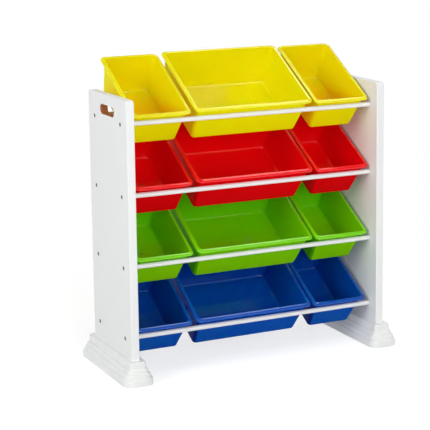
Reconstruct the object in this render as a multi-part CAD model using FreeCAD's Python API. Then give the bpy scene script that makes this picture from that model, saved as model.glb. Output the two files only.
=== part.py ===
"""Children's toy shelf: two board sides on moulded feet, eight rods and twelve tilted plastic bins.

Millimetres, +Z up, the front towards -Y. The origin is the middle of the footprint on the floor.
Each bin leans with its front wall on the front rod of its tier and lies with its floor on the rear rod.
"""
import FreeCAD, Part
import math
import os

from FreeCAD import Vector

# Tiers of rods
tier_names = ("bottom", "lower", "upper", "top")
first_rod_height = 120.0        # floor to the centre of the lowest rods
tier_spacing = 203.5            # centre to centre, one tier to the next
rod_setback = 47.5              # front or rear edge of the side to the centre of a rod
rod_diameter = 14.0
rod_wall = 1.5
rod_socket_depth = 8.0          # how far a rod goes into the board of the side

# Bins, seen square to their rim
bin_tilt = 30.0                 # degrees, the rear end up
bin_length = 290.0              # over the rim, front to rear
small_bin_width = 180.0         # over the rim
large_bin_width = 376.0
small_rim_rise = 27.0           # rim above the centre of the front rod
large_rim_rise = 32.5
bin_gap = 8.75                  # between bins, and from a bin to the side
tier_shift_shares = (-0.7, 0, 0.2, 0)   # how far each tier of bins sits along its rods, of the gap
bin_wall = 2.2
bin_end_draft = 8.0             # degrees, front and rear walls
bin_side_draft = 5.5            # degrees, left and right walls
bin_corner_radius = 11.0        # upright corners, on the inside
bin_floor_radius = 7.0          # floor to wall, on the inside
lip_width = 9.0                 # from the wall out to the face of the rim's skirt
lip_drop = 6.5                  # height of the rim's skirt
lip_corner_radius = 17.0        # corners of the rim, seen from above
lip_bead_radius = 3.0           # rounding of the rim, on its underside
rim_inner_radius = 2.0          # rounding where the rim turns down into the bin

# Sides
panel_thickness = 24.0
panel_depth = 292.0
panel_rise = 70.5               # top of the side above the centre of the top rods
panel_corner_radius = 12.0
panel_edge_radius = 3.0
hand_slot_length = 106.0
hand_slot_height = 28.0
hand_slot_drop = 44.0           # top of the side down to the middle of the slot
hand_slot_edge_radius = 1.5

# Feet: a base, steps and a band at the top, each set in from the one below
foot_side_overhang = 33.0       # base beyond the faces of the side
foot_end_overhang = 39.0        # base beyond the front and rear edges of the side
foot_base_height = 22.0
foot_step_height = 12.0
foot_step_count = 2
foot_band_height = 20.0
foot_step_inset = 6.7           # each tier, from the one below
foot_corner_radius = 9.0        # upright corners of the top band
foot_round = 6.2                # rounded shoulders of the base and the steps
foot_top_round = 2.5
foot_wall = 3.0
foot_socket_wall = 4.0          # around the foot of the side
foot_socket_floor = 12.0        # under the foot of the side
foot_rib_thickness = 3.0
foot_rib_count = 4

# Fasteners
bolt_diameter = 6.0
bolt_head_diameter = 12.0
bolt_head_height = 3.4
bolt_length = 45.0
bolt_socket_width = 4.0         # across the flats of the hexagon
bolt_socket_depth = 2.4
plug_length = 34.0              # threaded plug in each end of a rod
screw_diameter = 4.5
screw_head_diameter = 9.5
screw_head_height = 3.2
screw_length = 46.0
screw_recess_depth = 6.0        # counterbore under the foot
screw_spacing = 176.0
screw_socket_width = 3.0
screw_socket_depth = 1.8
key_sides = 6                   # of the recess for a key

# Clearances
rest_clearance = 0.3            # bins to the rods that carry them
fit_clearance = 0.15            # rods, plugs and sides in their sockets, per side
bore_clearance = 0.2            # bolts and screws in their holes, per side
overrun = 5.0                   # how far a cutting shape passes the surface that it cuts

# What follows from the sizes above
tier_count = len(tier_names)
rod_pitch = panel_depth - 2 * rod_setback
rod_radius = rod_diameter / 2
clear_width = 2 * small_bin_width + large_bin_width + 4 * bin_gap
panel_face = clear_width / 2 + panel_thickness
panel_middle = clear_width / 2 + panel_thickness / 2
panel_top = first_rod_height + (tier_count - 1) * tier_spacing + panel_rise
foot_band_inset = (foot_step_count + 1) * foot_step_inset
foot_top = foot_base_height + foot_step_count * foot_step_height + foot_band_height
foot_width = panel_thickness + 2 * foot_side_overhang
foot_depth = panel_depth + 2 * foot_end_overhang
rod_ends = clear_width / 2 + rod_socket_depth - fit_clearance
rod_bore_radius = rod_radius - rod_wall
rod_rows = {"front": -rod_pitch / 2, "rear": rod_pitch / 2}
sides = {"left": -1, "right": 1}

ALONG_X = Vector(1, 0, 0)
ALONG_Z = Vector(0, 0, 1)
ORIGIN = Vector(0, 0, 0)


def save(name, shape):
    """Write one piece, or one group of like fasteners."""
    shape.exportStep(os.path.join("parts", name + ".step"))
    print(name, len(shape.Solids), "solid", "valid" if shape.isValid() else "NOT VALID", round(shape.Volume))


def rod_height(tier):
    return first_rod_height + tier * tier_spacing


def rod_centres():
    """Depth and height of the centre of every rod."""
    return [(depth, rod_height(tier)) for depth in rod_rows.values() for tier in range(tier_count)]


def upright_edges(shape, lowest, highest):
    """Edges that run from the lowest level to the highest."""
    reach = (highest - lowest) / 2
    return [edge for edge in shape.Edges if edge.BoundBox.ZLength > reach]


def level_edges(shape, level):
    """Edges that lie wholly at one level."""
    return [
        edge for edge in shape.Edges
        if abs(edge.BoundBox.ZMin - level) < fit_clearance and abs(edge.BoundBox.ZMax - level) < fit_clearance
    ]


def rounded_block(width, depth, radius, bottom, top, top_round=0):
    """An upright block about the Z axis with round corners and, if asked, a round top edge."""
    block = Part.makeBox(width, depth, top - bottom, Vector(-width / 2, -depth / 2, bottom))
    block = block.makeFillet(radius, upright_edges(block, bottom, top))
    if top_round:
        block = block.makeFillet(top_round, level_edges(block, top))
    return block


def hexagon_socket(width, depth, start, direction):
    """A hexagonal recess for a key, cut from a point inwards along a direction."""
    turn = 2 * math.pi / key_sides
    corner = width / 2 / math.cos(turn / 2)
    points = [
        Vector(corner * math.cos(turn * k), corner * math.sin(turn * k), -overrun) for k in range(key_sides + 1)
    ]
    prism = Part.Face(Part.makePolygon(points)).extrude(Vector(0, 0, depth + overrun))
    prism.Placement = FreeCAD.Placement(start, FreeCAD.Rotation(ALONG_Z, direction))
    return prism


def stadium(length, height, start_x, reach):
    """A slot-shaped bar along X with round ends, centred on the X axis."""
    end = (length - height) / 2
    bar = Part.makeBox(reach, 2 * end, height, Vector(start_x, -end, -height / 2))
    for side in (-end, end):
        bar = bar.fuse(Part.makeCylinder(height / 2, reach, Vector(start_x, side, 0), ALONG_X))
    return bar.removeSplitter()


def bolt_head(start, direction, radius, clearance):
    """The countersunk head of a bolt, or its seat when given a clearance."""
    return Part.makeCone(radius + clearance, bolt_diameter / 2 + clearance, bolt_head_height, start, direction)


def make_panel(side):
    """One side: a painted board with a hand slot, sockets for the rods and seats for the bolts."""
    sign = sides[side]
    inward = Vector(-sign, 0, 0)
    inner_face = sign * clear_width / 2
    outer_face = sign * panel_face
    low = min(inner_face, outer_face)
    board = Part.makeBox(
        panel_thickness, panel_depth, panel_top - foot_socket_floor,
        Vector(low, -panel_depth / 2, foot_socket_floor),
    )
    top_corners = [
        edge for edge in level_edges(board, panel_top) if edge.BoundBox.XLength > panel_thickness / 2
    ]
    board = board.makeFillet(panel_corner_radius, top_corners)
    rims = [
        edge for edge in board.Edges
        if edge.BoundBox.XLength < fit_clearance and edge.BoundBox.ZMax > foot_socket_floor + panel_edge_radius
    ]
    board = board.makeFillet(panel_edge_radius, rims)

    slot = stadium(hand_slot_length, hand_slot_height, low - overrun, panel_thickness + 2 * overrun)
    slot_height = panel_top - hand_slot_drop
    slot.translate(Vector(0, 0, slot_height))
    board = board.cut(slot)
    slot_reach = hand_slot_height / 2 + hand_slot_edge_radius
    slot_rims = [
        edge for edge in board.Edges
        if edge.BoundBox.XLength < fit_clearance
        and edge.BoundBox.YLength < hand_slot_length
        and abs(edge.BoundBox.ZMin - slot_height) < slot_reach
        and abs(edge.BoundBox.ZMax - slot_height) < slot_reach
    ]
    board = board.makeFillet(hand_slot_edge_radius, slot_rims)

    for depth, height in rod_centres():
        start = Vector(outer_face, depth, height)
        bore = Part.makeCylinder(bolt_diameter / 2 + bore_clearance, panel_thickness + overrun, start, inward)
        seat = bolt_head(start, inward, bolt_head_diameter / 2, bore_clearance)
        socket = Part.makeCylinder(
            rod_radius + fit_clearance, rod_socket_depth + overrun,
            Vector(inner_face - sign * overrun, depth, height), -inward,
        )
        board = board.cut(bore.fuse([seat, socket]))
    for depth in (-screw_spacing / 2, screw_spacing / 2):
        pilot = Part.makeCylinder(
            screw_diameter / 2 + bore_clearance, screw_length + overrun,
            Vector(sign * panel_middle, depth, foot_socket_floor - overrun), ALONG_Z,
        )
        board = board.cut(pilot)
    return board


def make_bolts(side):
    """The countersunk bolts of one side, one into each end of every rod."""
    sign = sides[side]
    inward = Vector(-sign, 0, 0)
    bolts = []
    for depth, height in rod_centres():
        start = Vector(sign * panel_face, depth, height)
        shank = Part.makeCylinder(bolt_diameter / 2, bolt_length, start, inward)
        bolt = shank.fuse(bolt_head(start, inward, bolt_head_diameter / 2, 0)).removeSplitter()
        bolts.append(bolt.cut(hexagon_socket(bolt_socket_width, bolt_socket_depth, start, inward)))
    return Part.makeCompound(bolts)


def make_rod(row, tier):
    """One rod: a steel tube from side to side."""
    centre = Vector(-rod_ends, rod_rows[row], rod_height(tier))
    tube = Part.makeCylinder(rod_radius, 2 * rod_ends, centre, ALONG_X)
    return tube.cut(Part.makeCylinder(rod_bore_radius, 2 * rod_ends, centre, ALONG_X))


def make_plugs(side):
    """The threaded plugs in the rod ends at one side."""
    sign = sides[side]
    inward = Vector(-sign, 0, 0)
    plugs = []
    for depth, height in rod_centres():
        start = Vector(sign * rod_ends, depth, height)
        plug = Part.makeCylinder(rod_bore_radius - fit_clearance, plug_length, start, inward)
        plugs.append(plug.cut(Part.makeCylinder(bolt_diameter / 2 + fit_clearance, plug_length, start, inward)))
    return Part.makeCompound(plugs)


def foot_tiers():
    """Inset and top of each tier of a foot, from the base up, with the rounding of its upper edge."""
    tiers = [
        (k * foot_step_inset, foot_base_height + k * foot_step_height, foot_round)
        for k in range(foot_step_count + 1)
    ]
    return tiers + [(foot_band_inset, foot_top, foot_top_round)]


def foot_form(wall):
    """The stepped form of a foot, or its hollow when given a wall."""
    form = None
    for inset, top, edge_round in foot_tiers():
        block = rounded_block(
            foot_width - 2 * (inset + wall), foot_depth - 2 * (inset + wall),
            foot_corner_radius + foot_band_inset - inset - wall,
            -overrun if wall else 0, top - wall, 0 if wall else edge_round,
        )
        form = block if form is None else form.fuse(block)
    return form.removeSplitter()


def make_foot(side):
    """One foot: a hollow stepped moulding with ribs and a socket that takes the end of the side."""
    core_width = panel_thickness + 2 * (fit_clearance + foot_socket_wall)
    core_depth = panel_depth + 2 * (fit_clearance + foot_socket_wall)
    solid_parts = [
        Part.makeBox(core_width, core_depth, foot_top, Vector(-core_width / 2, -core_depth / 2, 0))
    ]
    rib_step = foot_depth / (foot_rib_count + 1)
    for k in range(foot_rib_count):
        middle = -foot_depth / 2 + (k + 1) * rib_step
        solid_parts.append(Part.makeBox(
            foot_width, foot_rib_thickness, foot_top,
            Vector(-foot_width / 2, middle - foot_rib_thickness / 2, 0),
        ))
    hollow = foot_form(foot_wall).cut(solid_parts)
    socket_width = panel_thickness + 2 * fit_clearance
    socket_depth = panel_depth + 2 * fit_clearance
    socket = Part.makeBox(
        socket_width, socket_depth, foot_top,
        Vector(-socket_width / 2, -socket_depth / 2, foot_socket_floor),
    )
    foot = foot_form(0).cut([hollow, socket])
    for depth in (-screw_spacing / 2, screw_spacing / 2):
        start = Vector(0, depth, -overrun)
        hole = Part.makeCylinder(screw_diameter / 2 + bore_clearance, foot_socket_floor + 2 * overrun, start)
        recess = Part.makeCylinder(screw_head_diameter / 2 + bore_clearance, screw_recess_depth + overrun, start)
        foot = foot.cut(hole.fuse(recess))
    foot.translate(Vector(sides[side] * panel_middle, 0, 0))
    return foot


def make_foot_screws(side):
    """The screws that go up through one foot into the end of its side."""
    screws = []
    for depth in (-screw_spacing / 2, screw_spacing / 2):
        seat = Vector(sides[side] * panel_middle, depth, screw_recess_depth)
        shank = Part.makeCylinder(screw_diameter / 2, screw_length, seat, ALONG_Z)
        bottom = seat - Vector(0, 0, screw_head_height)
        head = Part.makeCylinder(screw_head_diameter / 2, screw_head_height, bottom, ALONG_Z)
        screw = shank.fuse(head).removeSplitter()
        screws.append(screw.cut(hexagon_socket(screw_socket_width, screw_socket_depth, bottom, ALONG_Z)))
    return Part.makeCompound(screws)


def tapered_tub(bottom, top, corner, floor_round, front, rear, side):
    """A tub form with leaning walls. The front, rear and side values give a wall's place at a level."""
    tub = Part.makeWedge(
        -side(bottom), bottom, -rear(bottom), -rear(top), -side(top),
        side(bottom), top, -front(bottom), -front(top), side(top),
    )
    tub.rotate(ORIGIN, ALONG_X, 90)
    tub = tub.makeFillet(corner, upright_edges(tub, bottom, top))
    return tub.makeFillet(floor_round, level_edges(tub, bottom))


def make_bin(width, rim_rise):
    """One bin about the front rod that it leans on, with its rim level: X across, Y back, Z up."""
    seat = rod_radius + rest_clearance
    end_slope = math.radians(bin_end_draft)
    side_slope = math.radians(bin_side_draft)
    floor = -rod_pitch * math.sin(math.radians(bin_tilt)) + seat
    rim_front = seat / math.cos(end_slope) - rim_rise * math.tan(end_slope) - lip_width
    rim_rear = rim_front + bin_length

    def front(level):
        return rim_front + lip_width + (rim_rise - level) * math.tan(end_slope)

    def rear(level):
        return rim_rear - lip_width - (rim_rise - level) * math.tan(end_slope)

    def side(level):
        return width / 2 - lip_width - (rim_rise - level) * math.tan(side_slope)

    def inner_front(level):
        return front(level) + bin_wall / math.cos(end_slope)

    def inner_rear(level):
        return rear(level) - bin_wall / math.cos(end_slope)

    def inner_side(level):
        return side(level) - bin_wall / math.cos(side_slope)

    shell = tapered_tub(
        floor, rim_rise, bin_corner_radius + bin_wall, bin_floor_radius + bin_wall, front, rear, side
    )
    hollow = tapered_tub(
        floor + bin_wall, rim_rise + overrun, bin_corner_radius, bin_floor_radius,
        inner_front, inner_rear, inner_side,
    )
    middle = Vector(0, (rim_front + rim_rear) / 2, 0)
    rim = rounded_block(
        width, bin_length, lip_corner_radius, rim_rise - lip_drop, rim_rise, lip_bead_radius + bin_wall
    )
    pocket = rounded_block(
        width - 2 * bin_wall, bin_length - 2 * bin_wall, lip_corner_radius - bin_wall,
        rim_rise - lip_drop - overrun, rim_rise - bin_wall, lip_bead_radius,
    )
    rim = rim.cut(pocket)
    rim.translate(middle)
    tub = shell.fuse(rim).cut(hollow).removeSplitter()
    mouth = [
        edge for edge in level_edges(tub, rim_rise)
        if max(abs(edge.BoundBox.XMin), abs(edge.BoundBox.XMax)) < side(rim_rise)
        and edge.BoundBox.YMin > front(rim_rise)
        and edge.BoundBox.YMax < rear(rim_rise)
    ]
    return tub.makeFillet(rim_inner_radius, mouth)


def place_bin(shape, across, tier):
    """Put a bin on its rods: tilted about the front rod, then moved to it."""
    placed = shape.copy()
    placed.rotate(ORIGIN, ALONG_X, bin_tilt)
    along = across + tier_shift_shares[tier] * bin_gap
    placed.translate(Vector(along, rod_rows["front"], rod_height(tier)))
    return placed


def main():
    os.makedirs("parts", exist_ok=True)
    for side in sides:
        save(side + "_side_panel", make_panel(side))
        save(side + "_foot", make_foot(side))
        save(side + "_panel_bolts", make_bolts(side))
        save(side + "_rod_plugs", make_plugs(side))
        save(side + "_foot_screws", make_foot_screws(side))
    small_bin = make_bin(small_bin_width, small_rim_rise)
    large_bin = make_bin(large_bin_width, large_rim_rise)
    side_column = (large_bin_width + small_bin_width) / 2 + bin_gap
    columns = {"left": (small_bin, -side_column), "centre": (large_bin, 0), "right": (small_bin, side_column)}
    for tier, tier_name in enumerate(tier_names):
        for row in rod_rows:
            save(tier_name + "_" + row + "_rod", make_rod(row, tier))
        for column, (shape, across) in columns.items():
            save(tier_name + "_" + column + "_bin", place_bin(shape, across, tier))
    print("overall", 2 * (panel_middle + foot_width / 2), foot_depth)


main()
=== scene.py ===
# %% [markdown]
# # A toy shelf with tilted bins
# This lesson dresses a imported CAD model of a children's toy shelf. The CAD model is a fixed frame: it says
# where every piece is and how it moves. Here each visible piece gets a modelled mesh and a finish.
# The finishes come first, then the board sides, the feet, the rods, the bolts and the twelve plastic bins,
# and at the end the floor, the light and the camera.

# %% Load the frame
import math

import bmesh
import bpy
from mathutils import Matrix, Vector


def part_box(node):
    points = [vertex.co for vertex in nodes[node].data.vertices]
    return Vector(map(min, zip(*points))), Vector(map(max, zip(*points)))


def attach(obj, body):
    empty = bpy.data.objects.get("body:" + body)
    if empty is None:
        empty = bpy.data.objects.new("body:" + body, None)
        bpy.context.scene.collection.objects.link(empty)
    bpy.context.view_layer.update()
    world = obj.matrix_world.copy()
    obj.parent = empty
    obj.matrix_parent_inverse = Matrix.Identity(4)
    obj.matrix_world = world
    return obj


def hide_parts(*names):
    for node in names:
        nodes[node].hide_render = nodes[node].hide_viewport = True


MM = 0.001
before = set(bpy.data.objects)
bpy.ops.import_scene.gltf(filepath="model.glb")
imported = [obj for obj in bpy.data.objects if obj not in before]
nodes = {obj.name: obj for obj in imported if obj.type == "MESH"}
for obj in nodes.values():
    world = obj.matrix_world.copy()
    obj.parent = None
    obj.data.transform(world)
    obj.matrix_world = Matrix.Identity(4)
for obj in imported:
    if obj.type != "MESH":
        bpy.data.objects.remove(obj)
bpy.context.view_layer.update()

# %% [markdown]
# ## Finishes
# A picture of each surface would stretch over edges and repeat. So all finishes are made of nodes that read
# Object coordinates, and a grain keeps its real size on every piece. Each finish has a colour that drifts a
# little, a roughness that isn't even, and a fine bump. The numbers are chosen for how the real surface is
# made: paint from a roller, powder coat, moulded plastic, pressed fibre.

# %% Start a finish and fill it
def new_finish(name):
    """A material with one shader, its node tree and that shader."""
    finish = bpy.data.materials.new(name)
    finish.use_nodes = True
    tree = finish.node_tree
    tree.nodes.clear()
    output = tree.nodes.new("ShaderNodeOutputMaterial")
    shader = tree.nodes.new("ShaderNodeBsdfPrincipled")
    tree.links.new(shader.outputs["BSDF"], output.inputs["Surface"])
    return finish, tree, shader


def fill(tree, node, links, constants):
    """Link some inputs of a node to other nodes' outputs and set others."""
    for name, source in links.items():
        tree.links.new(source, node.inputs[name])
    for name, value in constants.items():
        node.inputs[name].default_value = value


def add(tree, kind, links=None, constants=None, **properties):
    """Add a node, set its properties, link some inputs and set others."""
    made = tree.nodes.new(kind)
    for name, value in properties.items():
        setattr(made, name, value)
    fill(tree, made, links or {}, constants or {})
    return made


def place_on(tree):
    """Where a point lies on its piece, in metres."""
    return add(tree, "ShaderNodeTexCoord").outputs["Object"]


# %% Noise, ranges, blends and bumps
def noise(tree, place, per_metre, detail=3.0, roughness=0.55):
    constants = {"Scale": per_metre, "Detail": detail, "Roughness": roughness}
    return add(tree, "ShaderNodeTexNoise", {"Vector": place}, constants).outputs["Fac"]


def spread(tree, value, low, high, start=0.3, end=0.7):
    """Map a value onto a range. A noise seldom leaves the stretch from 0.3 to 0.7."""
    constants = {"From Min": start, "From Max": end, "To Min": low, "To Max": high}
    return add(tree, "ShaderNodeMapRange", {"Value": value}, constants).outputs["Result"]


def blend_colours(tree, factor, first, second):
    """A colour between two, by a factor. Each colour is a value or another node's output."""
    made = add(tree, "ShaderNodeMix", {"Factor": factor}, data_type="RGBA")
    for name, colour in (("A", first), ("B", second)):
        socket = next(s for s in made.inputs if s.name == name and s.type == "RGBA")
        if isinstance(colour, tuple):
            socket.default_value = (*colour, 1)
        else:
            tree.links.new(colour, socket)
    return next(s for s in made.outputs if s.type == "RGBA")


def bump(tree, height, distance, strength, under=None):
    """A bumped normal, on top of another one where that is given."""
    links = {"Height": height, "Normal": under} if under else {"Height": height}
    return add(tree, "ShaderNodeBump", links, {"Distance": distance, "Strength": strength}).outputs["Normal"]


# %% [markdown]
# ### White paint on board
# The sides are fibre board, filled and rolled with white satin paint. A roller leaves a faint orange peel of
# a millimetre or two, and the sheen drifts slowly over the face. Dents could be modelled, but a peel this
# fine is only seen in the sheen, so a bump of two sizes is enough.

# %% Painted board
def painted_board():
    thin_paint = (0.84, 0.85, 0.855)
    full_paint = (0.88, 0.885, 0.885)
    finish, tree, shader = new_finish("white_paint_on_board")
    place = place_on(tree)
    drift = noise(tree, place, per_metre=5.0)
    sheen = noise(tree, place, per_metre=40.0)
    waves = bump(tree, noise(tree, place, per_metre=22.0, detail=2.0), distance=0.6 * MM, strength=0.25)
    peel = noise(tree, place, per_metre=620.0, detail=2.0)
    fill(tree, shader, {
        "Base Color": blend_colours(tree, drift, thin_paint, full_paint),
        "Roughness": spread(tree, sheen, low=0.38, high=0.52),
        "Normal": bump(tree, peel, distance=0.12 * MM, strength=0.35, under=waves),
    }, {"Specular IOR Level": 0.45})
    return finish


paint = painted_board()
print(paint.name, len(paint.node_tree.nodes), "nodes")

# %% [markdown]
# ### Bare fibre board
# Inside the hand slot the board was cut after painting, so its brown pressed fibre shows. A plain brown would
# look like more paint. Fibres are short and dusty, which a stretched noise with fine specks over it can give.

# %% Bare board
def bare_board():
    dark_fibre = (0.33, 0.105, 0.030)
    light_fibre = (0.58, 0.215, 0.075)
    dust = (0.70, 0.33, 0.13)
    fibres_per_metre = (260.0, 900.0, 900.0)
    finish, tree, shader = new_finish("bare_fibre_board")
    place = place_on(tree)
    stretched = add(tree, "ShaderNodeMapping", {"Vector": place}, {"Scale": fibres_per_metre})
    fibre = noise(tree, stretched.outputs["Vector"], 1.0, detail=4.0, roughness=0.65)
    speck = noise(tree, place, per_metre=900.0, detail=2.0)
    brown = blend_colours(tree, spread(tree, fibre, low=0.0, high=1.0), dark_fibre, light_fibre)
    dusty = spread(tree, speck, low=0.0, high=0.35, start=0.5, end=0.8)
    fill(tree, shader, {
        "Base Color": blend_colours(tree, dusty, brown, dust),
        "Normal": bump(tree, fibre, distance=0.4 * MM, strength=0.6),
    }, {"Roughness": 0.85})
    return finish


fibre_board = bare_board()
print(fibre_board.name, len(fibre_board.node_tree.nodes), "nodes")

# %% [markdown]
# ### White moulded plastic
# The feet are satin white plastic. Their mould was spark-eroded, which leaves an even, very fine grain, and
# thick mouldings sink a little as they cool, which leaves soft waves. Both are bumps here.

# %% White moulded plastic
def white_plastic():
    shaded_white = (0.845, 0.86, 0.85)
    clear_white = (0.88, 0.89, 0.88)
    finish, tree, shader = new_finish("white_moulded_plastic")
    place = place_on(tree)
    drift = noise(tree, place, per_metre=7.0)
    sheen = noise(tree, place, per_metre=30.0)
    waves = bump(tree, noise(tree, place, per_metre=16.0, detail=1.0), distance=1 * MM, strength=0.2)
    grain = noise(tree, place, per_metre=1500.0, detail=2.0)
    fill(tree, shader, {
        "Base Color": blend_colours(tree, drift, shaded_white, clear_white),
        "Roughness": spread(tree, sheen, low=0.34, high=0.46),
        "Normal": bump(tree, grain, distance=0.06 * MM, strength=0.3, under=waves),
    }, {})
    return finish


foot_plastic = white_plastic()
print(foot_plastic.name, len(foot_plastic.node_tree.nodes), "nodes")

# %% [markdown]
# ### Coloured plastic
# The bins are glossy inside and over the rim, where the mould was polished: the grain is almost gone and only
# long soft waves are left, which bend reflections. Outside they keep a satin grain, which hides scratches.
# The plastic lets some light through. Glass-like transmission would show what is behind, so Subsurface is
# used, with a travel for each of red, green and blue. Light that has gone through several walls is all that
# reaches the gaps between bins and the depth of a narrow one, and it is deeper in colour. That shade is
# painted:
# a second, deeper colour is blended into the base colour there, and yellow turns to orange. An attribute on
# the mesh, called depth, says where that is.

# %% Coloured plastic
def coloured_plastic(name, base, light, painted_shade, travel, rough, grain, mirror, through, reach):
    finish, tree, shader = new_finish(name)
    place = place_on(tree)
    cloud = spread(tree, noise(tree, place, per_metre=9.0, detail=2.0), low=0.0, high=1.0)
    # Painted shade: where the depth attribute says so, a deeper colour is blended into the base colour.
    depth = add(tree, "ShaderNodeAttribute", attribute_name="depth").outputs["Fac"]
    painted_shade_share = spread(tree, depth, low=0.0, high=0.9, start=0.0, end=0.5)
    waves = bump(tree, noise(tree, place, per_metre=11.0, detail=1.0), distance=0.8 * MM, strength=0.12)
    skin = noise(tree, place, per_metre=900.0, detail=2.0)
    fill(tree, shader, {
        "Base Color": blend_colours(tree, painted_shade_share, blend_colours(tree, cloud, base, light), painted_shade),
        "Roughness": spread(tree, noise(tree, place, per_metre=26.0), *rough),
        "Normal": bump(tree, skin, distance=0.03 * MM, strength=grain, under=waves),
    }, {
        "Specular IOR Level": mirror, "Subsurface Weight": through,
        "Subsurface Radius": travel, "Subsurface Scale": reach,
    })
    return finish


# %% The four colours, polished and grained
polished = {"rough": (0.012, 0.03), "grain": 0.03, "mirror": 0.5, "through": 0.6, "reach": 5 * MM}
grained = {"rough": (0.28, 0.38), "grain": 0.4, "mirror": 0.015, "through": 1.0, "reach": 20 * MM}
plastics = {
    "yellow": {"base": (0.85, 0.76, 0.001), "light": (0.88, 0.79, 0.002), "travel": (1.0, 0.45, 0.02)},
    "red": {"base": (0.90, 0.001, 0.004), "light": (0.93, 0.002, 0.006), "travel": (1.0, 0.05, 0.05)},
    "green": {"base": (0.20, 0.66, 0.001), "light": (0.22, 0.69, 0.002), "travel": (0.35, 1.0, 0.03)},
    "blue": {"base": (0.001, 0.083, 0.45), "light": (0.002, 0.091, 0.48), "travel": (0.04, 0.2, 1.0)},
}
# Painted shade colours: inside, deep in narrow bins, and outside, on walls that face a neighbour.
painted_inside_shade = {
    "yellow": (0.95, 0.46, 0.001), "red": (0.88, 0.001, 0.003), "green": (0.24, 0.64, 0.001),
    "blue": (0.001, 0.055, 0.35),
}
painted_gap_shade = {
    "yellow": (0.94, 0.60, 0.002), "red": (0.45, 0.001, 0.003), "green": (0.08, 0.30, 0.001),
    "blue": (0.001, 0.02, 0.18),
}
bin_finishes = {
    colour: [
        coloured_plastic(colour + "_plastic_polished", **tones, painted_shade=painted_inside_shade[colour], **polished),
        coloured_plastic(colour + "_plastic_grained", **tones, painted_shade=painted_gap_shade[colour], **grained),
    ]
    for colour, tones in plastics.items()
}
print("bins in", [finish.name for pair in bin_finishes.values() for finish in pair])

# %% [markdown]
# ### Powder coat
# The rods are steel tube with white powder coat. The powder melts into a glossy skin with a fine peel, which
# is smoother than rolled paint, so one small bump and a lower roughness are enough.

# %% Powder coat
def powder_coat():
    thin_coat = (0.88, 0.88, 0.895)
    full_coat = (0.92, 0.92, 0.925)
    finish, tree, shader = new_finish("white_powder_coat")
    place = place_on(tree)
    drift = noise(tree, place, per_metre=12.0)
    sheen = noise(tree, place, per_metre=90.0)
    peel = noise(tree, place, per_metre=800.0, detail=2.0)
    fill(tree, shader, {
        "Base Color": blend_colours(tree, drift, thin_coat, full_coat),
        "Roughness": spread(tree, sheen, low=0.28, high=0.4),
        "Normal": bump(tree, peel, distance=0.08 * MM, strength=0.35),
    }, {})
    return finish


rod_coat = powder_coat()
print(rod_coat.name, len(rod_coat.node_tree.nodes), "nodes")

# %% [markdown]
# ### Dark steel
# The bolts are dark bronzed steel, with lighter spots where the key has rubbed them. They are only a few
# pixels wide in the picture, so one noise for the spots and one for the sheen do.

# %% Dark steel
def dark_steel():
    bronze = (0.10, 0.080, 0.072)
    worn = (0.24, 0.20, 0.18)
    finish, tree, shader = new_finish("dark_bronzed_steel")
    place = place_on(tree)
    rubbed = spread(tree, noise(tree, place, per_metre=500.0, detail=4.0), 0.0, 1.0, start=0.42, end=0.75)
    sheen = noise(tree, place, per_metre=900.0)
    marks = noise(tree, place, per_metre=1800.0, detail=2.0)
    fill(tree, shader, {
        "Base Color": blend_colours(tree, rubbed, bronze, worn),
        "Roughness": spread(tree, sheen, low=0.34, high=0.55),
        "Normal": bump(tree, marks, distance=0.05 * MM, strength=0.4),
    }, {"Metallic": 0.85})
    return finish


steel = dark_steel()
print(steel.name, len(steel.node_tree.nodes), "nodes")

# %% [markdown]
# ## Working as by hand
# Every piece below starts as a primitive and is shaped in edit mode, the way it would be with a mouse.
# Operators act on whatever is selected, so these small helpers clear the selection first, pick edges or
# faces by their place or normal, and shape what was picked.

# %% Select and edit
def only(piece):
    """Make one object the selected and active one."""
    bpy.ops.object.select_all(action="DESELECT")
    piece.select_set(True)
    bpy.context.view_layer.objects.active = piece


def start_edit(piece):
    only(piece)
    bpy.ops.object.mode_set(mode="EDIT")
    bpy.ops.mesh.select_all(action="DESELECT")


def end_edit():
    bpy.ops.object.mode_set(mode="OBJECT")


def choose(piece, kind, test):
    """In edit mode, select the edges or faces that pass a test, and nothing else."""
    bpy.ops.mesh.select_mode(type={"edges": "EDGE", "faces": "FACE"}[kind])
    bpy.ops.mesh.select_all(action="DESELECT")
    mesh = bmesh.from_edit_mesh(piece.data)
    chosen = [part for part in getattr(mesh, kind) if test(part)]
    for part in chosen:
        part.select_set(True)
    mesh.select_flush_mode()
    bmesh.update_edit_mesh(piece.data)
    return len(chosen)


# %% Know edges by their place, and round them
TINY = 0.02 * MM
# Cosines: a face looks a way from FACING up, and two faces meet at a corner below CORNER
FACING = 0.9
CORNER = 0.5


def level(part, height):
    """True for an edge or face that lies wholly at one height."""
    return all(abs(v.co.z - height) < TINY for v in part.verts)


def span(edge, axis):
    """How far an edge reaches along x, y or z."""
    first, second = edge.verts
    return abs(getattr(first.co, axis) - getattr(second.co, axis))


def is_corner(edge):
    """True where two faces meet at a corner and not along a round."""
    if len(edge.link_faces) != 2:
        return False
    first, second = edge.link_faces
    return abs(first.normal.dot(second.normal)) < CORNER


def round_edges(width, segments):
    """Bevel what is selected into a round of the given width."""
    bpy.ops.mesh.bevel(offset=width, segments=segments, profile=0.5, affect="EDGES", clamp_overlap=False)


# %% Add, join and copy
def add_alone(primitive, **settings):
    """Add a primitive as the only selected object."""
    bpy.ops.object.select_all(action="DESELECT")
    primitive(**settings)
    return bpy.context.object


def fix_place():
    """Put the place, turn and size of the selected object into its mesh."""
    bpy.ops.object.transform_apply(location=True, rotation=True, scale=True)


def block(low, high):
    """A cube primitive between two corners."""
    piece = add_alone(bpy.ops.mesh.primitive_cube_add, size=1, location=(Vector(low) + Vector(high)) / 2)
    piece.scale = Vector(high) - Vector(low)
    fix_place()
    return piece


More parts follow.
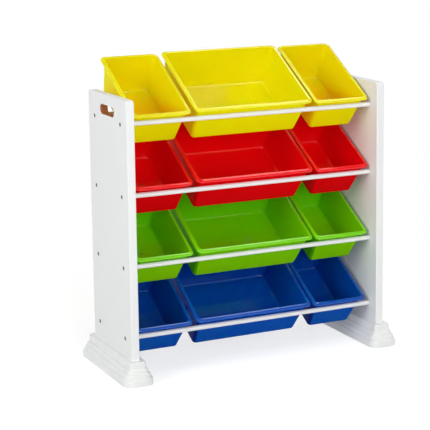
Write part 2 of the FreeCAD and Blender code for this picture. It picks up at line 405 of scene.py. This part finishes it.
def join(pieces):
    """Join pieces into the first one."""
    bpy.ops.object.select_all(action="DESELECT")
    for piece in pieces:
        piece.select_set(True)
    bpy.context.view_layer.objects.active = pieces[0]
    bpy.ops.object.join()
    return pieces[0]


def copied(pattern, place=(0, 0, 0), turn=(0, 0, 0)):
    """A copy with a mesh of its own, moved and turned from where the first one was modelled."""
    only(pattern)
    bpy.ops.object.duplicate()
    copy = bpy.context.object
    copy.location = place
    copy.rotation_euler = turn
    fix_place()
    return copy


# %% Modifiers and dressing
SMOOTH_ANGLE = math.radians(32)


def apply(piece, kind, **settings):
    """Add a modifier, set it and apply it."""
    only(piece)
    modifier = piece.modifiers.new(kind.title(), kind)
    for name, value in settings.items():
        setattr(modifier, name, value)
    bpy.ops.object.modifier_apply(modifier=modifier.name)


def cut(piece, cutter, finish):
    """Cut one piece with another, with the given finish on the cut faces."""
    cutter.data.materials.clear()
    cutter.data.materials.append(finish)
    apply(piece, "BOOLEAN", operation="DIFFERENCE", solver="EXACT", material_mode="TRANSFER", object=cutter)
    bpy.data.objects.remove(cutter)


def smooth(piece):
    """Smooth shading, with flat faces kept flat by weighting normals with area."""
    only(piece)
    bpy.ops.object.shade_smooth_by_angle(angle=SMOOTH_ANGLE)
    apply(piece, "WEIGHTED_NORMAL", keep_sharp=True)


def dress(piece, name, body, finishes, replaced):
    """Give a piece its name, body and finishes in its slots, and hide the CAD node that it stands for."""
    piece.name = name
    piece.data.name = name
    for place, finish in enumerate(finishes):
        if place < len(piece.data.materials):
            piece.data.materials[place] = finish
        else:
            piece.data.materials.append(finish)
    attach(piece, body)
    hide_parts(replaced)
    print(name, len(piece.data.polygons), "faces")


# %% [markdown]
# ## The sides
# Each side is one board with a soft edge all round, a hand slot, and a countersink for every bolt. A cube is
# added at the board's size, its two top corners are bevelled into arcs, and then the rims of both faces are
# rounded. The slot could be bridged by hand, but a Boolean also hands the cutter's finish to the cut faces:
# that is how the slot gets its bare brown inside. The left side is modelled, and the right one is a copy of
# it, turned half round. The bolts' places come from the rods in the frame.

# %% Where the rods and bolts are
tier_colour = {"top": "yellow", "upper": "red", "lower": "green", "bottom": "blue"}
rows = ("front", "rear")
sides = {"left": -1, "right": 1}


def rod_line(tier, row):
    """The centre of a rod, from its CAD box."""
    low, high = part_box(f"{tier}_{row}_rod")
    return (low + high) / 2


def bolt_places(side):
    """Where the bolts of one side meet its outer face."""
    low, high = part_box(side + "_side_panel")
    face = low.x if side == "left" else high.x
    centres = [rod_line(tier, row) for tier in tier_colour for row in rows]
    return [Vector((face, centre.y, centre.z)) for centre in centres]


print("left bolts at", [tuple(round(part, 3) for part in place) for place in bolt_places("left")])

# %% Cutters for the slot and the bolts
slot_length = 106 * MM
slot_height = 28 * MM
slot_drop = 44 * MM
bolt_head_radius = 6 * MM
bolt_neck_radius = bolt_head_radius / 2
bolt_head_height = 3.4 * MM
bolt_seat_gap = 0.25 * MM
cut_overrun = 5 * MM


def slot_cutter(low, high):
    """A bar with round ends, as long as the slot."""
    height = high.z - slot_drop
    cutter = block(
        (low.x - cut_overrun, -slot_length / 2, height - slot_height / 2),
        (high.x + cut_overrun, slot_length / 2, height + slot_height / 2),
    )
    start_edit(cutter)
    choose(cutter, "edges", lambda e: span(e, "x") > cut_overrun)
    round_edges(slot_height / 2 - TINY, segments=12)
    end_edit()
    return cutter


def countersink(place, sign):
    """A cone that opens towards the outside of a side."""
    slope = (bolt_head_radius - bolt_neck_radius) / bolt_head_height
    cone = add_alone(
        bpy.ops.mesh.primitive_cone_add,
        vertices=40,
        radius1=bolt_neck_radius + bolt_seat_gap,
        radius2=bolt_head_radius + bolt_seat_gap + slope * cut_overrun,
        depth=bolt_head_height + cut_overrun,
        location=place + Vector((sign * (cut_overrun - bolt_head_height) / 2, 0, 0)),
        rotation=(0, sign * math.pi / 2, 0),
    )
    fix_place()
    return cone


# %% Make the sides
side_corner = 12 * MM
side_edge = 3 * MM
slot_edge = 1.5 * MM


def is_slot_rim(edge):
    """True for an edge where the inside of the slot meets a face of the board."""
    if len(edge.link_faces) != 2:
        return False
    wall, face = sorted(edge.link_faces, key=lambda f: abs(f.normal.x))
    return wall.material_index != face.material_index and abs(face.normal.x) > FACING


def make_board(side):
    low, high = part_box(side + "_side_panel")
    board = block(low, high)
    board.data.materials.append(paint)
    start_edit(board)
    choose(board, "edges", lambda e: level(e, high.z) and span(e, "x") > side_edge)
    round_edges(side_corner, segments=10)
    choose(board, "edges", lambda e: span(e, "x") < TINY and is_corner(e) and not level(e, low.z))
    round_edges(side_edge, segments=5)
    end_edit()
    cut(board, slot_cutter(low, high), fibre_board)
    start_edit(board)
    print("slot rim", choose(board, "edges", is_slot_rim), "edges")
    round_edges(slot_edge, segments=3)
    end_edit()
    cut(board, join([countersink(place, sides[side]) for place in bolt_places(side)]), paint)
    return board


left_board = make_board("left")
right_board = copied(left_board, turn=(0, 0, math.pi))
for side_name, board in (("left", left_board), ("right", right_board)):
    smooth(board)
    dress(
        board, side_name + "_side_board", "frame", [paint, fibre_board],
        side_name + "_side_panel",
    )

# %% [markdown]
# ## The feet
# Each foot is a stepped moulding. It could be a profile swept round, but the corners of each step have to
# keep one centre. So a cube is added at the size of its base, its upright corners are rounded, and the top
# face is inset and extruded once for every step and for the band: each tier keeps the outline of the one
# below. Bevels then turn the shoulders into the soft steps of the real moulding.

# %% The outside of a foot
foot_base = 22 * MM
foot_step = 12 * MM
foot_steps = 2
foot_inset = 6.7 * MM
foot_band_corner = 9 * MM
foot_base_corner = foot_band_corner + (foot_steps + 1) * foot_inset
foot_shoulder = 6.1 * MM
foot_top_edge = 2.5 * MM
foot_floor_edge = 1.5 * MM


def is_rim(edge, height):
    """True for an outer edge between a level face and an upright face at a height."""
    if not level(edge, height) or len(edge.link_faces) != 2 or not edge.is_convex:
        return False
    upright, flat = sorted(abs(face.normal.z) for face in edge.link_faces)
    return upright < 1 - FACING and flat > FACING


def stepped_form(low, high):
    """The outside of a foot: base, steps and band, with soft shoulders."""
    levels = [low.z + foot_base + k * foot_step for k in range(foot_steps + 1)]
    foot = block(low, (high.x, high.y, levels[0]))
    start_edit(foot)
    choose(foot, "edges", lambda e: span(e, "z") > foot_step)
    round_edges(foot_base_corner, segments=14)
    choose(foot, "faces", lambda f: f.normal.z > FACING)
    for bottom, top in zip(levels, levels[1:] + [high.z]):
        bpy.ops.mesh.inset(thickness=foot_inset, depth=0)
        bpy.ops.mesh.extrude_region_move(TRANSFORM_OT_translate={"value": (0, 0, top - bottom)})
    for height in levels:
        choose(foot, "edges", lambda e: is_rim(e, height))
        round_edges(foot_shoulder, segments=8)
    choose(foot, "edges", lambda e: is_rim(e, high.z))
    round_edges(foot_top_edge, segments=4)
    choose(foot, "edges", lambda e: is_rim(e, low.z))
    round_edges(foot_floor_edge, segments=3)
    end_edit()
    return foot


left_foot = stepped_form(*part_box("left_foot"))
print("left foot", len(left_foot.data.polygons), "faces outside")

# %% [markdown]
# ### Under the feet
# A moulded foot is hollow. The underside is inset once for the outer wall, sliced into strips where the ribs
# and the middle core run, and then every strip but the core is inset on its own and pushed up, which leaves
# ribs between the pockets. Two round recesses in the core take the heads of the screws. Both feet are alike,
# so the second is a copy of the first.

# %% Hollow the underside
foot_wall = 3 * MM
foot_rib = 3 * MM
foot_ribs = 4
foot_core = 32.3 * MM
foot_hollow = 15 * MM
screw_spacing = 176 * MM
screw_recess_radius = 4.95 * MM
screw_recess_depth = 6 * MM


def hollow_underside(foot, low, high):
    centre = (low + high) / 2

    def is_underside(face):
        return face.normal.z < -FACING and level(face, low.z)

    def is_pocket(face):
        beside_core = abs(face.calc_center_median().x - centre.x) > foot_core / 2
        return is_underside(face) and face.calc_area() > foot_wall * foot_core and beside_core

    start_edit(foot)
    choose(foot, "faces", is_underside)
    bpy.ops.mesh.inset(thickness=foot_wall - foot_floor_edge - foot_rib / 2, depth=0)
    rib_gap = (high.y - low.y) / (foot_ribs + 1)
    cuts = [((0, 1, 0), low.y + (k + 1) * rib_gap) for k in range(foot_ribs)]
    cuts += [((1, 0, 0), centre.x + sign * (foot_core - foot_rib) / 2) for sign in sides.values()]
    for axis, place in cuts:
        choose(foot, "faces", is_underside)
        bpy.ops.mesh.bisect(plane_co=[place * part for part in axis], plane_no=axis)
    print("pockets", choose(foot, "faces", is_pocket))
    bpy.ops.mesh.inset(thickness=foot_rib / 2, depth=0, use_individual=True)
    bpy.ops.mesh.extrude_region_move(TRANSFORM_OT_translate={"value": (0, 0, foot_hollow)})
    end_edit()


def cut_screw_recesses(foot, low, high):
    centre = (low + high) / 2
    for sign in sides.values():
        recess = add_alone(
            bpy.ops.mesh.primitive_cylinder_add,
            vertices=32, radius=screw_recess_radius, depth=2 * screw_recess_depth,
            location=(centre.x, centre.y + sign * screw_spacing / 2, low.z),
        )
        cut(foot, recess, foot_plastic)


# %% Make the feet
left_foot.data.materials.append(foot_plastic)
hollow_underside(left_foot, *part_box("left_foot"))
cut_screw_recesses(left_foot, *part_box("left_foot"))
right_foot = copied(left_foot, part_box("right_foot")[0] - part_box("left_foot")[0])
for side_name, foot in (("left", left_foot), ("right", right_foot)):
    smooth(foot)
    dress(foot, side_name + "_stepped_foot", "frame", [foot_plastic], side_name + "_foot")

# %% [markdown]
# ## The rods
# A rod is a coated steel tube. Its bore is never seen, because both ends sit in the sides, so a cylinder
# primitive is laid along X at the size of its CAD node. Its end rims are bevelled, because a sawn tube is
# deburred before it is coated. One rod is modelled, and the eight are copies.

# %% Make the rods
rod_sides = 48
rod_end_bevel = 0.8 * MM


def make_rod(node):
    low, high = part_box(node)
    rod = add_alone(
        bpy.ops.mesh.primitive_cylinder_add,
        vertices=rod_sides,
        radius=(high.z - low.z) / 2,
        depth=high.x - low.x,
        location=(low + high) / 2,
        rotation=(0, math.pi / 2, 0),
    )
    fix_place()
    start_edit(rod)
    choose(rod, "edges", lambda e: span(e, "x") < TINY)
    round_edges(rod_end_bevel, segments=3)
    end_edit()
    smooth(rod)
    return rod


first_rod = make_rod("top_front_rod")
first_line = rod_line("top", "front")
for tier_name in tier_colour:
    for row_name in rows:
        rod_name = f"{tier_name}_{row_name}"
        rod = copied(first_rod, rod_line(tier_name, row_name) - first_line)
        dress(rod, rod_name + "_tube", "frame", [rod_coat], rod_name + "_rod")
bpy.data.objects.remove(first_rod)

# %% [markdown]
# ## The bolt heads
# Every rod end is held by a countersunk bolt. Its head lies flush in the side, with a hexagonal recess for
# the key. One bolt is modelled: a cone whose small end is pulled out into the shank and whose rim is rounded.
# A prism with six sides cuts the recess. The bolts are copies, turned to face out of their side.

# %% Make the bolt heads
bolt_crown = 0.35 * MM
bolt_key_width = 4 * MM
bolt_key_depth = 2.2 * MM
bolt_shank = 20 * MM


def make_bolt():
    """One bolt that stands on its shank, with the top of its head at height 0."""
    bolt = add_alone(
        bpy.ops.mesh.primitive_cone_add,
        vertices=36, radius1=bolt_neck_radius, radius2=bolt_head_radius, depth=bolt_head_height,
        location=(0, 0, -bolt_head_height / 2),
    )
    fix_place()
    bolt.data.materials.append(steel)
    start_edit(bolt)
    choose(bolt, "faces", lambda f: f.normal.z < -FACING)
    bpy.ops.mesh.extrude_region_move(TRANSFORM_OT_translate={"value": (0, 0, -bolt_shank)})
    choose(bolt, "edges", lambda e: level(e, 0))
    round_edges(bolt_crown, segments=3)
    end_edit()
    key = add_alone(
        bpy.ops.mesh.primitive_cylinder_add,
        vertices=6, radius=bolt_key_width / math.sqrt(3), depth=2 * bolt_key_depth,
    )
    cut(bolt, key, steel)
    smooth(bolt)
    return bolt


first_bolt = make_bolt()
for side_name, side_sign in sides.items():
    facing = (0, side_sign * math.pi / 2, 0)
    bolts = join([copied(first_bolt, place, facing) for place in bolt_places(side_name)])
    dress(bolts, side_name + "_bolt_heads", "frame", [steel], side_name + "_panel_bolts")
bpy.data.objects.remove(first_bolt)

# %% [markdown]
# ## The bins
# A bin is one moulded sheet of plastic that goes up the wall, over the rim and down the turned lip. A box cut
# hollow would have no lip, so it is modelled as a sheet. Two planes with rounded corners are the outline of
# the rim and of the mouth; a bridge between their edges, cut once, is the flange, and raising the cut makes
# it roll down outwards. The edge of the mouth is pulled down and drawn in, which makes leaning walls, and is
# filled for the floor; the outer edge is pulled down into the lip. Bevels round the rim, the mouth and the
# floor, and Solidify gives the sheet its wall. One small and one large bin are modelled level, about the rod
# that they lean on. The twelve bins are copies, tilted and put on their rods.

# %% Sizes of the bins
bin_tilt = math.radians(30)
bin_length = 290 * MM
bin_wall = 2.2 * MM
bin_lip = 9 * MM
bin_lip_drop = 6.5 * MM
bin_lip_corner = 17 * MM
bin_mouth_inset = bin_lip + bin_wall
bin_mouth_corner = 11 * MM
bin_end_draft = math.radians(8)
bin_side_draft = math.radians(5.5)
bin_crest_slope = math.radians(13)
bin_roll_slope = math.radians(22)
bin_rest = 0.3 * MM
rod_gap = rod_line("top", "rear").y - first_line.y
rod_low, rod_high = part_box("top_front_rod")
bin_seat = (rod_high.z - rod_low.z) / 2 + bin_rest
bin_floor = bin_wall + bin_seat - rod_gap * math.sin(bin_tilt)
crest_fall = bin_mouth_inset / 2 * math.tan(bin_crest_slope)
rim_fall = crest_fall + bin_mouth_inset / 2 * math.tan(bin_roll_slope)
print("floor of a bin", round(bin_floor / MM, 1), "rim falls", round(rim_fall / MM, 2), "mm")


# %% The flange
def rounded_outline(width, length, corner, place):
    """The edge of a level plane whose four corners are rounded."""
    plane = add_alone(bpy.ops.mesh.primitive_plane_add, size=1, location=place)
    plane.scale = (width, length, 1)
    fix_place()
    start_edit(plane)
    bpy.ops.mesh.select_all(action="SELECT")
    bpy.ops.mesh.bevel(offset=corner, segments=8, profile=0.5, affect="VERTICES", clamp_overlap=False)
    bpy.ops.mesh.select_all(action="SELECT")
    bpy.ops.mesh.delete(type="ONLY_FACE")
    end_edit()
    return plane


def mouth_size(width):
    """The width and length of the opening of a bin."""
    return width - 2 * bin_mouth_inset, bin_length - 2 * bin_mouth_inset


def flange(width, rise, rim_middle):
    """A rim that rolls down outwards from the mouth, as a sheet."""
    sheet = join([
        rounded_outline(*mouth_size(width), bin_mouth_corner, (0, rim_middle, rise)),
        rounded_outline(width, bin_length, bin_lip_corner, (0, rim_middle, rise - rim_fall)),
    ])
    start_edit(sheet)
    bpy.ops.mesh.select_all(action="SELECT")
    bpy.ops.mesh.bridge_edge_loops(number_cuts=1)
    choose(sheet, "edges", lambda e: level(e, rise - rim_fall / 2))
    bpy.ops.transform.translate(value=(0, 0, rim_fall / 2 - crest_fall))
    end_edit()
    return sheet


# %% Walls, floor and lip
def pull_walls(sheet, width, rise, rim_middle):
    """Pull the mouth's edge down into walls and a floor, and the outer edge into the lip."""
    drop = rise - bin_floor
    mouth_width, mouth_length = mouth_size(width)
    narrowing = 1 - 2 * drop * math.tan(bin_side_draft) / mouth_width
    shortening = 1 - 2 * drop * math.tan(bin_end_draft) / mouth_length
    start_edit(sheet)
    choose(sheet, "edges", lambda e: e.is_boundary and level(e, rise))
    bpy.ops.mesh.extrude_edges_move(TRANSFORM_OT_translate={"value": (0, 0, -drop)})
    bpy.ops.transform.resize(value=(narrowing, shortening, 1), center_override=(0, rim_middle, bin_floor))
    bpy.ops.mesh.edge_face_add()
    choose(sheet, "edges", lambda e: e.is_boundary)
    bpy.ops.mesh.extrude_edges_move(TRANSFORM_OT_translate={"value": (0, 0, rim_fall - bin_lip_drop)})
    end_edit()


# %% Round the sheet
bin_floor_round = 7 * MM
bin_mouth_round = 2.6 * MM
bin_crest_round = 1.5 * MM
bin_rim_round = 2.2 * MM


def round_sheet(sheet, rise):
    """Round the floor, the mouth, the crest and the rim, and turn the faces inwards and up."""
    start_edit(sheet)
    choose(sheet, "edges", lambda e: level(e, bin_floor) and is_corner(e))
    round_edges(bin_floor_round, segments=6)
    choose(sheet, "edges", lambda e: level(e, rise) and is_corner(e))
    round_edges(bin_mouth_round, segments=6)
    choose(sheet, "edges", lambda e: level(e, rise - crest_fall))
    round_edges(bin_crest_round, segments=4)
    choose(sheet, "edges", lambda e: level(e, rise - rim_fall))
    round_edges(bin_rim_round, segments=5)
    bpy.ops.mesh.select_all(action="SELECT")
    bpy.ops.mesh.remove_doubles(threshold=TINY / 2)
    bpy.ops.mesh.normals_make_consistent(inside=False)
    faces = bmesh.from_edit_mesh(sheet.data).faces
    if max(faces, key=lambda f: f.calc_area()).normal.z < 0:
        bpy.ops.mesh.flip_normals()
    end_edit()


# %% [markdown]
# ### Gate mark and painted shade
# Hot plastic enters the mould in the middle of the floor, which leaves a small round mark underneath. The
# depth attribute says where the bins' colour gets painted shade. It is stored on the mesh of the level bin,
# but
# it is measured as on the tilted one: how far a point lies below the front rim, as a share of how far the
# lowest point does. Wide bins are open to the light and get no painted shade inside, and outside only the
# walls that face a neighbour get it.

# %% Gate mark and depth attribute
gate_mark_radius = 3.2 * MM
gate_mark_rise = 0.15 * MM
sideways = 0.5


def gate_mark(place):
    """The small round mark that the mould's inlet leaves in the middle of the floor."""
    mark = add_alone(
        bpy.ops.mesh.primitive_cylinder_add,
        vertices=24, radius=gate_mark_radius, depth=2 * gate_mark_rise, location=place,
    )
    fix_place()
    mark.data.materials.append(bin_finishes["yellow"][1])
    start_edit(mark)
    choose(mark, "edges", lambda e: level(e, place[2] + gate_mark_rise))
    round_edges(gate_mark_rise / 2, segments=2)
    end_edit()
    return mark


def mark_painted_shade(tub, rim_front, rise, narrow):
    """Store how far each point lies below the front rim, inside a narrow bin or beside any, as the share of
    painted shade.
    """
    def height(place):
        return place.y * math.sin(bin_tilt) + place.z * math.cos(bin_tilt)

    centre = Vector((0, rim_front + bin_length / 2, rise))
    brim = height(Vector((0, rim_front, rise)))
    lowest = min(height(vertex.co) for vertex in tub.data.vertices)
    shares = []
    for vertex in tub.data.vertices:
        inside = vertex.normal.dot(centre - vertex.co) > 0
        shaded = narrow if inside else abs(vertex.normal.x) > sideways
        share = (brim - height(vertex.co)) / (brim - lowest)
        shares.append(max(share, 0) if shaded else 0)
    tub.data.attributes.new("depth", "FLOAT", "POINT").data.foreach_set("value", shares)


# %% A small and a large bin
small_rim_rise = 27 * MM
large_rim_rise = 32.5 * MM
bin_cut_edge = 0.5 * MM
cut_edge_angle = math.radians(60)


def make_tub(node, rise):
    """A bin with its rim level and its front rod at the origin."""
    low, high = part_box(node)
    width = high.x - low.x
    rim_front = bin_seat / math.cos(bin_end_draft) - rise * math.tan(bin_end_draft) - bin_lip
    rim_middle = rim_front + bin_length / 2
    tub = flange(width, rise, rim_middle)
    pull_walls(tub, width, rise, rim_middle)
    round_sheet(tub, rise)
    for finish in bin_finishes["yellow"]:
        tub.data.materials.append(finish)
    apply(tub, "SOLIDIFY", thickness=bin_wall, offset=-1, use_even_offset=True, material_offset=1)
    apply(tub, "BEVEL", width=bin_cut_edge, segments=2, limit_method="ANGLE", angle_limit=cut_edge_angle)
    join([tub, gate_mark((0, rim_middle, bin_floor))])
    smooth(tub)
    mark_painted_shade(tub, rim_front, rise, narrow=width < bin_length)
    print(node, "pattern", [round(side / MM, 1) for side in tub.dimensions], "mm")
    return tub


small_tub = make_tub("top_left_bin", small_rim_rise)
large_tub = make_tub("top_centre_bin", large_rim_rise)

# %% Put the bins on their rods
for tier_name, colour_name in tier_colour.items():
    for column_name, pattern in (("left", small_tub), ("centre", large_tub), ("right", small_tub)):
        bin_node = f"{tier_name}_{column_name}_bin"
        bin_low, bin_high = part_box(bin_node)
        line = rod_line(tier_name, "front")
        tub = copied(pattern, ((bin_low.x + bin_high.x) / 2, line.y, line.z), (bin_tilt, 0, 0))
        tub_name = f"{colour_name}_{column_name}_tub"
        dress(tub, tub_name, bin_node, bin_finishes[colour_name], bin_node)
for pattern in (small_tub, large_tub):
    bpy.data.objects.remove(pattern)

# %% [markdown]
# ## Hidden pieces
# The plugs in the rods and the screws under the feet are out of sight on the real shelf. Modelling them again
# would add nothing, so they keep their CAD meshes, with the steel finish.

# %% Finish the CAD nodes that stay
for side_name in sides:
    for piece_name in ("_rod_plugs", "_foot_screws"):
        kept = nodes[side_name + piece_name]
        kept.data.materials.clear()
        kept.data.materials.append(steel)
        print(kept.name, "keeps its CAD mesh")

# %% [markdown]
# ## Floor and background
# The photograph has a white studio sweep with a soft shadow. More light would turn the floor white, but the
# object too. So the floor is lit like the object near it, where the shadow falls, and fades into plain white
# further out. What the camera and reflections see there is an emission of strength 1, which is white. Other
# rays meet a plain pale floor, which throws light back up under the bins as paper does.

# %% Rays and plain greys
def any_shown_ray(tree):
    """1 for rays that show a surface as such: from the camera, in a reflection or through glass."""
    path = add(tree, "ShaderNodeLightPath").outputs
    ends = {0: path["Is Camera Ray"], 1: path["Is Glossy Ray"]}
    seen = add(tree, "ShaderNodeMath", ends, operation="MAXIMUM").outputs[0]
    ends = {0: seen, 1: path["Is Transmission Ray"]}
    return add(tree, "ShaderNodeMath", ends, operation="MAXIMUM").outputs[0]


def grey_diffuse(tree, albedo, rough):
    grey = {"Color": (albedo, albedo, albedo, 1)}
    return add(tree, "ShaderNodeBsdfDiffuse", {"Roughness": rough}, grey).outputs["BSDF"]


# %% Floor
floor_reach = 14.0
lit_radius = 0.7
white_radius = 1.3
floor_albedo = 0.8
shown_albedo = 0.5
shown_lift = 0.63


def studio_floor():
    finish, tree, shader = new_finish("studio_floor")
    tree.nodes.remove(shader)
    output = next(n for n in tree.nodes if n.type == "OUTPUT_MATERIAL")
    place = place_on(tree)
    rough = spread(tree, noise(tree, place, per_metre=60.0), low=0.3, high=0.5)
    lift = add(tree, "ShaderNodeEmission", constants={"Strength": shown_lift}).outputs[0]
    near = add(tree, "ShaderNodeAddShader", {0: grey_diffuse(tree, shown_albedo, rough), 1: lift}).outputs[0]
    distance = add(tree, "ShaderNodeVectorMath", {0: place}, operation="LENGTH").outputs["Value"]
    far = add(
        tree, "ShaderNodeMapRange", {"Value": distance},
        {"From Min": lit_radius, "From Max": white_radius}, interpolation_type="SMOOTHSTEP",
    ).outputs["Result"]
    white = add(tree, "ShaderNodeEmission").outputs[0]
    shown = add(tree, "ShaderNodeMixShader", {0: far, 1: near, 2: white}).outputs[0]
    lit = grey_diffuse(tree, floor_albedo, rough)
    surface = add(tree, "ShaderNodeMixShader", {0: any_shown_ray(tree), 1: lit, 2: shown}).outputs[0]
    tree.links.new(surface, output.inputs["Surface"])
    return finish


ground = add_alone(bpy.ops.mesh.primitive_plane_add, size=2 * floor_reach)
ground.name = "studio_floor"
ground.data.materials.append(studio_floor())
print("floor", 2 * floor_reach, "m")

# %% [markdown]
# ## Light
# A room with white walls gives the fill, and soft boxes give direction. A large, low one stands in front: in
# the photograph the floors of the lower bins are as bright as those of the top ones, which light from above
# would not reach. A box at the left lights the outside of the side, and one behind at the left the rear. The
# others are there for what they leave on glossy plastic. A rim shows a lamp where it mirrors it towards the
# camera, so each hangs in the direction that one run of rims mirrors: top_box for the front, over_box for the
# left, right_box for the right and rear_right_box for the rear. The window is small: it shows on the floor of
# the large top bin, by way of its rear wall.

# %% World
wall_level = 1.0
wall_top = 0.25
ceiling_level = 0.2
ceiling_edge = 0.65
room_fill = 0.36

world = bpy.data.worlds.new("white_room")
bpy.context.scene.world = world
world.use_nodes = True
room = world.node_tree
room.nodes.clear()
ray = add(room, "ShaderNodeTexCoord").outputs["Generated"]
steepness = add(room, "ShaderNodeSeparateXYZ", {0: ray}).outputs["Z"]
shown_room = spread(room, steepness, wall_level, ceiling_level, wall_top, ceiling_edge)
room_ends = {"Factor": any_shown_ray(room), "B": shown_room}
room_level = add(room, "ShaderNodeMix", room_ends, {"A": room_fill}).outputs["Result"]
room_light = add(room, "ShaderNodeBackground", {"Strength": room_level}, {"Color": (1, 1, 1, 1)})
add(room, "ShaderNodeOutputWorld", {"Surface": room_light.outputs["Background"]})
print("world", len(room.nodes), "nodes")

# %% Lamps
object_middle = Vector((0, 0, 0.45))


def soft_box(name, place, size, power):
    """A rectangular lamp that faces the object, out of the camera's sight."""
    lamp = bpy.data.lights.new(name, "AREA")
    lamp.shape = "RECTANGLE"
    lamp.size, lamp.size_y = size
    lamp.energy = power
    holder = bpy.data.objects.new(name, lamp)
    bpy.context.scene.collection.objects.link(holder)
    holder.visible_camera = False
    holder.location = place
    holder.rotation_euler = (object_middle - Vector(place)).to_track_quat("-Z", "Y").to_euler()
    print(name, "at", place)


soft_box("front_wall", place=(-0.3, -4.3, 1.7), size=(3.0, 2.0), power=82)
soft_box("left_box", place=(-3.9, -1.2, 2.2), size=(1.8, 1.8), power=66)
soft_box("rear_right_box", place=(1.8, 2.6, 3.65), size=(1.0, 0.7), power=8)
soft_box("rear_left_box", place=(-1.6, 2.6, 3.2), size=(0.9, 0.7), power=12)
soft_box("right_box", place=(2.6, 1.4, 3.3), size=(0.9, 0.7), power=10)
soft_box("over_box", place=(0.35, 0.55, 4.1), size=(1.1, 0.6), power=6)
soft_box("top_box", place=(1.55, -0.72, 3.65), size=(1.3, 0.95), power=15)
soft_box("window", place=(2.06, -4.0, 2.72), size=(0.26, 0.36), power=1.6)

# %% [markdown]
# ## Camera
# The camera stands where the photograph was taken from: to the left, above the shelf and a few metres away.
# Its place was found by matching corners of the sides, rods and feet with their places in the picture. The
# object doesn't lie in the middle of the picture, and a small shift of the lens gives that framing.

# %% Camera
picture_side = 430
camera_place = (-1.9139, -3.9413, 1.3733)
camera_turn = 0.4564
camera_pitch = -0.1759
camera_roll = -0.0098
focal_pixels = 1512.8
centre_pixel = (245, 155)

lens = bpy.data.cameras.new("photo_camera")
lens.sensor_width = 36
lens.lens = focal_pixels / picture_side * lens.sensor_width
lens.shift_x = (picture_side / 2 - centre_pixel[0]) / picture_side
lens.shift_y = (centre_pixel[1] - picture_side / 2) / picture_side
camera = bpy.data.objects.new("photo_camera", lens)
bpy.context.scene.collection.objects.link(camera)
camera.location = camera_place
camera.rotation_euler = (
    Matrix.Rotation(-camera_turn, 3, "Z")
    @ Matrix.Rotation(math.pi / 2 + camera_pitch, 3, "X")
    @ Matrix.Rotation(camera_roll, 3, "Z")
).to_euler()
bpy.context.scene.camera = camera
bpy.context.scene.view_settings.view_transform = "Standard"
print("lens", round(lens.lens, 1), "shift", round(lens.shift_x, 3), round(lens.shift_y, 3))
